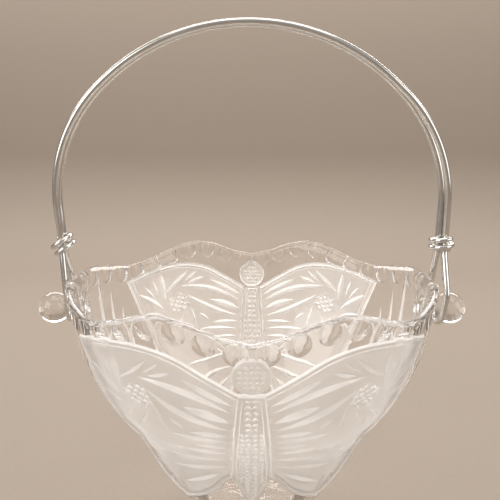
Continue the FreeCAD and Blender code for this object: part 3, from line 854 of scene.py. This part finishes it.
def addInside(mesh, outer, ts, zs, onTop):
    # a rounded lip, the inner wall, the fillet at its foot and the floor
    endFlat, wall = form["endFlat"], form["wall"]
    rows = [[outer[i] for i in onTop]]
    for inward, drop in form["lip"]:
        blend = max(0.0, 1 - inward / form["lipBlend"])
        row = []
        for i in onTop:
            # the relief of the edge runs out over the lip
            edge = outer[i].co - wallPoint(ts[i], zs[i])
            place = insetPlace(ts[i], rimTop(ts[i]) - drop, inward) + edge * blend
            place.x = min(place.x, endFlat - inward)
            row.append(mesh.verts.new(place))
        rows.append(row)
    level = form["floor"]
    filletTop = level + form["fillet"]
    lipDrop = form["lip"][-1][1]
    for k in range(1, form["innerRows"] + 1):
        row = []
        for i in onTop:
            high = rimTop(ts[i]) - lipDrop
            place = insetPlace(ts[i], high + (filletTop - high) * k / form["innerRows"], wall)
            place.x = min(place.x, endFlat - wall)
            row.append(mesh.verts.new(place))
        rows.append(row)
    lowA = halfLengthAt(filletTop) - wall
    lowB = halfLengthAt(filletTop) * form["ratio"] - wall

    def floorRow(share, z):
        return [mesh.verts.new((lowA * share * math.sin(ts[i]), -lowB * share * math.cos(ts[i]), z))
                for i in onTop]

    for k in range(1, form["filletRows"]):
        angle = k / form["filletRows"] * math.pi / 2
        rows.append(floorRow(1 - form["filletIn"] * (1 - math.cos(angle)),
                             level + form["fillet"] * (1 - math.sin(angle))))
    for share in form["floorShares"]:
        rows.append(floorRow(share, level))
    for upper, lower in zip(rows, rows[1:]):
        strip(mesh, upper, lower)
    fan(mesh, rows[-1], mesh.verts.new((0, 0, level)))
    # the corners between facets stay sharp over the lip
    corners = [min(range(len(onTop)), key=lambda k: abs(ts[onTop[k]] - t)) for t in facetTurns]
    for upper, lower in zip(rows, rows[1:len(form["lip"]) + 1]):
        for k in corners:
            mesh.edges.get((upper[k], lower[k])).smooth = False


def addUnderside(mesh, outer, ts, onFoot):
    # the ring that the foot rests on, and the shallow hollow inside it
    row = [outer[i] for i in onFoot]
    footA, footB = halfLengthAt(0), halfLengthAt(0) * form["ratio"]
    for inward, lift in form["footRows"]:
        a, b = footA - inward, footB - inward
        lower = [mesh.verts.new((a * math.sin(ts[i]), -b * math.cos(ts[i]), lift)) for i in onFoot]
        strip(mesh, row, lower)
        row = lower
    fan(mesh, row, mesh.verts.new((0, 0, form["footRows"][-1][1])))


def addKnob(mesh, outer, onCollar):
    # collar, neck and ball turned about the knob's line
    end, collar, neck, ball = knob["collarEnd"], knob["collar"], knob["neck"], knob["ball"]
    profile = [(end + out, collar + more) for out, more in knob["collarEdge"]]
    profile += [(end + out, neck + more) for out, more in knob["neckFoot"]]
    sweep = math.pi - math.asin(neck / ball)
    for k in range(knob["ballSteps"]):
        angle = sweep - sweep * k / knob["ballSteps"]
        profile.append((knob["ballAt"] + ball * math.cos(angle), ball * math.sin(angle)))
    row = [outer[i] for i in onCollar]
    angles = [math.pi * k / (len(onCollar) - 1) for k in range(len(onCollar))]
    for x, r in profile:
        after = [mesh.verts.new((x, -r * math.sin(a), knob["level"] + r * math.cos(a))) for a in angles]
        strip(mesh, row, after)
        row = after
    fan(mesh, row, mesh.verts.new((knob["ballAt"] + ball, 0, knob["level"])))


def joinQuarters(mesh):
    # the quarter without loose points or faces on its middles, mirrored twice and welded
    loose = [v for v in mesh.verts if not v.link_faces]
    bmesh.ops.delete(mesh, geom=loose, context="VERTS")
    nearMiddle = 0.02
    for vert in mesh.verts:
        if abs(vert.co.y) < nearMiddle:
            vert.co.y = 0.0
        if abs(vert.co.x) < nearMiddle:
            vert.co.x = 0.0
    onMiddle = [f for f in mesh.faces
                if all(v.co.x == 0 for v in f.verts) or all(v.co.y == 0 for v in f.verts)]
    bmesh.ops.delete(mesh, geom=onMiddle, context="FACES")
    for axis in ((1, -1, 1), (-1, 1, 1)):
        copy = bmesh.ops.duplicate(mesh, geom=mesh.verts[:] + mesh.edges[:] + mesh.faces[:])["geom"]
        for vert in (g for g in copy if isinstance(g, bmesh.types.BMVert)):
            vert.co = Vector([c * s for c, s in zip(vert.co, axis)])
    bmesh.ops.remove_doubles(mesh, verts=mesh.verts, dist=form["weld"])
    closeSeams(mesh)
    bmesh.ops.recalc_face_normals(mesh, faces=mesh.faces)


def buildBowl():
    ts, zs, heights, faces, finish, onTop, onFoot, onCollar = outerQuarter()
    mesh = bmesh.new()
    outer = [mesh.verts.new(wallPoint(t, z, h)) for t, z, h in zip(ts, zs, heights)]
    for face, slot in zip(faces, finish):
        mesh.faces.new([outer[i] for i in face]).material_index = int(slot)
    addInside(mesh, outer, ts, zs, onTop)
    addUnderside(mesh, outer, ts, onFoot)
    addKnob(mesh, outer, onCollar)
    joinQuarters(mesh)
    for vert in mesh.verts:
        vert.co *= mm
    for edge in mesh.edges:
        if len(edge.link_faces) == 2 and edge.calc_face_angle(0) > math.radians(form["sharpAngle"]):
            edge.smooth = False
    holes = sum(1 for edge in mesh.edges if len(edge.link_faces) != 2)
    triangles = sum(len(f.verts) - 2 for f in mesh.faces)
    print("bowl:", len(mesh.verts), "points,", triangles, "triangles,", holes, "open edges")
    return addObject("glass_bowl_relief", mesh, (clearMaterial, satinMaterial, cutMaterial))


bowl = buildBowl()
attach(bowl, "bowl")
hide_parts("glass_bowl")
print("bowl placed")


# The bail, on the same line as the solids
bail = {
    "axis": 110.0,
    "loopX": 90.05,
    "loopTurn": 5.66,
    "wire": 1.6,
    "rise": 132.5,
    "crownRadius": 99.0,
    "crownAngle": 42.5,
    "shoulderRadius": 72.0,
    "strand": 3.1,
    "lean": 2.4,
    "pairHalf": 1.65,
    "bindX": 91.85,
    "bindZ": 32.5,
    "bindHalf": 4.2,
    "rightTurn": 62.0,
    "looseOut": 3.4,
    "looseFront": 3.2,
    # share of looseOut at the loop, the loop's rounding and the hip's height as shares of loopTurn
    "looseShare": 0.5,
    "loopRound": 0.98,
    "hipRise": 1.6,
    "bend": 10.0,
    "legLean": 0.075,
    "sides": 28,
}


def roundedLine(corners, fine=math.radians(4), longest=2.2):
    # runs and arcs through (place, radius) corners; points on arcs are about fine or longest apart
    line = [corners[0][0]]
    for (before, _), (place, radius), (after, _) in zip(corners, corners[1:], corners[2:]):
        back, ahead = (before - place).normalized(), (after - place).normalized()
        half = back.angle(ahead) / 2
        cut = radius / math.tan(half)
        centre = place + (back + ahead).normalized() * radius / math.sin(half)
        start, end = place + back * cut - centre, place + ahead * cut - centre
        sweep = math.pi - 2 * half
        steps = max(2, int(sweep / min(fine, longest / radius)))
        for k in range(steps + 1):
            angle = k / steps * sweep
            line.append(centre + (start * math.sin(sweep - angle) + end * math.sin(angle)) / math.sin(sweep))
    line.append(corners[-1][0])
    return [p for p, q in zip(line, line[1:] + [None]) if q is None or (p - q).length > 1e-4]


def bowCorner():
    # where the tangents of the crown and of a leg meet, and the crown's own corner
    angle = math.radians(bail["crownAngle"])
    centre = bail["rise"] - bail["crownRadius"]
    endX = bail["crownRadius"] * math.sin(angle)
    endZ = centre + bail["crownRadius"] * math.cos(angle)
    topZ = centre + bail["crownRadius"] / math.cos(angle)
    lean = math.atan2(bail["bindX"] * bail["legLean"], endZ - bail["bindZ"])
    run = bail["shoulderRadius"] * math.tan((math.pi / 2 - angle + lean) / 2)
    return endX + run * math.cos(angle), endZ - run * math.sin(angle), topZ


def leaned(x, y, z):
    # the bow leans a little to the left towards its top
    share = max(0.0, (z - bail["bindZ"]) / (bail["rise"] - bail["bindZ"]))
    return Vector((x - bail["lean"] * min(share, 1.0), y, z))


def legCorners(side, strand):
    # from under the neck, around it and up through the coil
    low, high = bail["bindZ"] - bail["bindHalf"], bail["bindZ"] + bail["bindHalf"]
    turn = math.radians(bail["rightTurn"]) if side > 0 else 0.0
    pairX = side * bail["bindX"] - strand * bail["pairHalf"] * math.sin(turn)
    pairY = strand * bail["pairHalf"] * math.cos(turn)
    loose = side > 0 and strand < 0
    out = bail["looseOut"] if loose else 0.0
    hip = bail["loopTurn"] + (bail["looseFront"] if loose else 0.0)
    turnZ = bail["loopTurn"]
    x = bail["loopX"]
    return [
        (Vector((side * x, 0, -turnZ)), 0.0),
        (Vector((side * (x + out * bail["looseShare"]), strand * hip, -turnZ)), turnZ * bail["loopRound"]),
        (Vector((side * (x + out), strand * hip, turnZ * bail["hipRise"])), bail["bend"]),
        (Vector((pairX, pairY, low)), bail["bend"]),
        (Vector((pairX, pairY, high)), bail["bend"]),
    ]


def strandLine(strand):
    shoulderX, shoulderZ, topZ = bowCorner()
    y = strand * bail["strand"]
    bow = [(leaned(-shoulderX, y, shoulderZ), bail["shoulderRadius"]),
           (leaned(0, y, topZ), bail["crownRadius"]),
           (leaned(shoulderX, y, shoulderZ), bail["shoulderRadius"])]
    return roundedLine(legCorners(-1, strand) + bow + legCorners(1, strand)[::-1])


def tube(name, line, radius, sides, closed):
    # round wire along a line, with its rings carried along without twist
    count = len(line)
    turns = [2 * math.pi * k / sides for k in range(sides)]
    mesh = bmesh.new()
    rows = []
    across = None
    for i, place in enumerate(line):
        before = line[i - 1] if i or closed else place
        after = line[(i + 1) % count] if i < count - 1 or closed else place
        along = (after - before).normalized()
        if across is None:
            across = along.orthogonal().normalized()
        across = (across - along * across.dot(along)).normalized()
        other = along.cross(across)
        ring = [place + across * radius * math.cos(a) + other * radius * math.sin(a) for a in turns]
        rows.append([mesh.verts.new(spot * mm) for spot in ring])
    pairs = list(zip(rows, rows[1:]))
    if closed:
        # the last ring meets the first at the turn that fits best
        def misfit(shift):
            return sum((rows[-1][k].co - rows[0][(k + shift) % sides].co).length for k in range(sides))

        shift = min(range(sides), key=misfit)
        pairs.append((rows[-1], rows[0][shift:] + rows[0][:shift]))
    else:
        mesh.faces.new(rows[0])
        mesh.faces.new(rows[-1])
    for a, b in pairs:
        strip(mesh, a + a[:1], b + b[:1])
    bmesh.ops.recalc_face_normals(mesh, faces=mesh.faces)
    return addObject(name, mesh, [wireMaterial])


def lifted(line):
    # from the bail's axis to the table's level
    return [p + Vector((0, 0, bail["axis"])) for p in line]


frontStrand, backStrand = strandLine(-1), strandLine(1)
wireLoop = lifted(frontStrand[:-1] + backStrand[:0:-1])
wirePiece = tube("bail_strands", wireLoop, bail["wire"], bail["sides"], True)
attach(wirePiece, "bail")
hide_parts("bail_wire")

# The coils that bind the strands above the knobs
coil = {
    "radius": 5.0,
    "wire": 1.15,
    "pitch": 3.6,
    "turns": 1.8,
    "steps": 70,
    "sides": 20,
    # tilt and spin of each, in degrees
    "left": (-24.0, 200.0),
    "right": (0.0, 20.0),
}


def coilLine(side, tilt, spin):
    turned = Matrix.Rotation(math.radians(tilt), 3, "Y") @ Matrix.Rotation(math.radians(spin), 3, "Z")
    middle = Vector((side * bail["bindX"], 0, bail["bindZ"]))
    radius = coil["radius"]
    line = []
    for k in range(coil["steps"] + 1):
        share = k / coil["steps"]
        angle = 2 * math.pi * coil["turns"] * share
        rise = coil["pitch"] * coil["turns"] * (share - 0.5)
        line.append(middle + turned @ Vector((radius * math.cos(angle), radius * math.sin(angle), rise)))
    return lifted(line)


for name, node, side in (("left_coil", "left_wrap", -1), ("right_coil", "right_wrap", 1)):
    line = coilLine(side, *coil["left" if side < 0 else "right"])
    piece = tube(name, line, coil["wire"], coil["sides"], False)
    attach(piece, "bail")
    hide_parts(node)
print("bail placed")


# Stage: pale table and wall, soft light, and a camera at the photograph's angle
stage = {
    "board": ("#a3978b", "#9c9084"),
    "boardGrain": 2.5 * mm,
    "wallDistance": 0.62,
    "wallHeight": 2.4,
    "tableFront": -1.4,
    "width": 3.0,
    "bend": 0.16,
    "bendSteps": 12,
    "room": "#e4dcd4",
    # the room's strength low down and towards the ceiling
    "roomStrength": (0.38, 0.62),
    "roomRise": (0.05, 0.75),
    # focal length that gives a view 500 pixels wide at a distance of 520
    "lens": 36 * 520 / 500,
    "cameraPlace": (0.0, -0.2469, 0.1961),
    "cameraTurn": (90 - 12.95, 0, 0.2),
}
# place, target, size, watts and colour of each lamp; the strip lights the rim's top face
lamps = {
    "ceiling panel": ((0.0, 0.0, 1.0), (0, 0, 0.10), (0.8, 0.6), 3.1, "#fffaf5"),
    "left window": ((-0.75, -0.62, 0.55), (0, 0, 0.10), (0.7, 0.7), 4.3, "#fefcfa"),
    "right fill": ((0.85, -0.50, 0.45), (0, 0, 0.10), (0.6, 0.7), 2.5, "#fffaf5"),
    "rim strip": ((0.0, 0.55, 0.54), (0, 0, 0.13), (1.6, 0.18), 6.0, "#fffcf9"),
}


def backdrop():
    # one swept sheet: table, bend and wall
    material, tree = newMaterial("pale painted board")
    grain = noiseAt(tree, stage["boardGrain"], 4.0)
    light, dark = stage["board"]
    tone = addNode(tree, "ShaderNodeMix", {"data_type": "RGBA"},
                   {"A": linear(light), "B": linear(dark)}, {"Factor": grain.outputs["Fac"]})
    shader = addNode(tree, "ShaderNodeBsdfPrincipled", inputs={"Roughness": 0.65},
                     links={"Base Color": tone.outputs["Result"]})
    addNode(tree, "ShaderNodeOutputMaterial", links={"Surface": shader.outputs["BSDF"]})
    half, far, bend = stage["width"] / 2, stage["wallDistance"], stage["bend"]
    profile = [(stage["tableFront"], 0.0), (far - bend, 0.0)]
    for k in range(1, stage["bendSteps"] + 1):
        angle = k * math.pi / 2 / stage["bendSteps"]
        profile.append((far - bend + bend * math.sin(angle), bend - bend * math.cos(angle)))
    profile.append((far, stage["wallHeight"]))
    mesh = bmesh.new()
    rows = [[mesh.verts.new((x, y, z)) for x in (-half, half)] for y, z in profile]
    for near, beyond in zip(rows, rows[1:]):
        strip(mesh, near, beyond)
    addObject("backdrop", mesh, [material])


def areaLight(name, place, target, size, watts, colour):
    lamp = bpy.data.lights.new(name, "AREA")
    lamp.shape = "RECTANGLE"
    lamp.size, lamp.size_y = size
    lamp.energy = watts
    lamp.color = linear(colour)[:3]
    made = bpy.data.objects.new(name, lamp)
    made.location = place
    made.rotation_euler = (Vector(target) - Vector(place)).to_track_quat("-Z", "Y").to_euler()
    made.visible_camera = False
    scene.collection.objects.link(made)


def studioWorld():
    # the room is dim low down and bright towards the ceiling; seen through glass it is
    # as pale as its walls
    world = bpy.data.worlds.new("studio")
    scene.world = world
    world.use_nodes = True
    tree = world.node_tree
    tree.nodes.clear()
    heading = addNode(tree, "ShaderNodeTexCoord")
    parts = addNode(tree, "ShaderNodeSeparateXYZ", links={"Vector": heading.outputs["Generated"]})
    (low, high), (dim, bright) = stage["roomRise"], stage["roomStrength"]
    rise = addNode(tree, "ShaderNodeMapRange",
                   inputs={"From Min": low, "From Max": high, "To Min": dim, "To Max": bright},
                   links={"Value": parts.outputs["Z"]})
    paths = addNode(tree, "ShaderNodeLightPath")
    seen = addNode(tree, "ShaderNodeMapRange", inputs={"To Max": 1.0},
                   links={"Value": paths.outputs["Is Transmission Ray"], "To Min": rise.outputs["Result"]})
    air = addNode(tree, "ShaderNodeBackground", inputs={"Color": linear(stage["room"])},
                  links={"Strength": seen.outputs["Result"]})
    addNode(tree, "ShaderNodeOutputWorld", links={"Surface": air.outputs["Background"]})


backdrop()
for name, (place, target, size, watts, colour) in lamps.items():
    areaLight(name, place, target, size, watts, colour)
studioWorld()

camera = bpy.data.cameras.new("camera")
camera.sensor_width = 36
camera.lens = stage["lens"]
cameraObject = bpy.data.objects.new("camera", camera)
cameraObject.location = stage["cameraPlace"]
cameraObject.rotation_euler = [math.radians(angle) for angle in stage["cameraTurn"]]
scene.collection.objects.link(cameraObject)
scene.camera = cameraObject
scene.view_settings.view_transform = "Standard"
print("stage set")
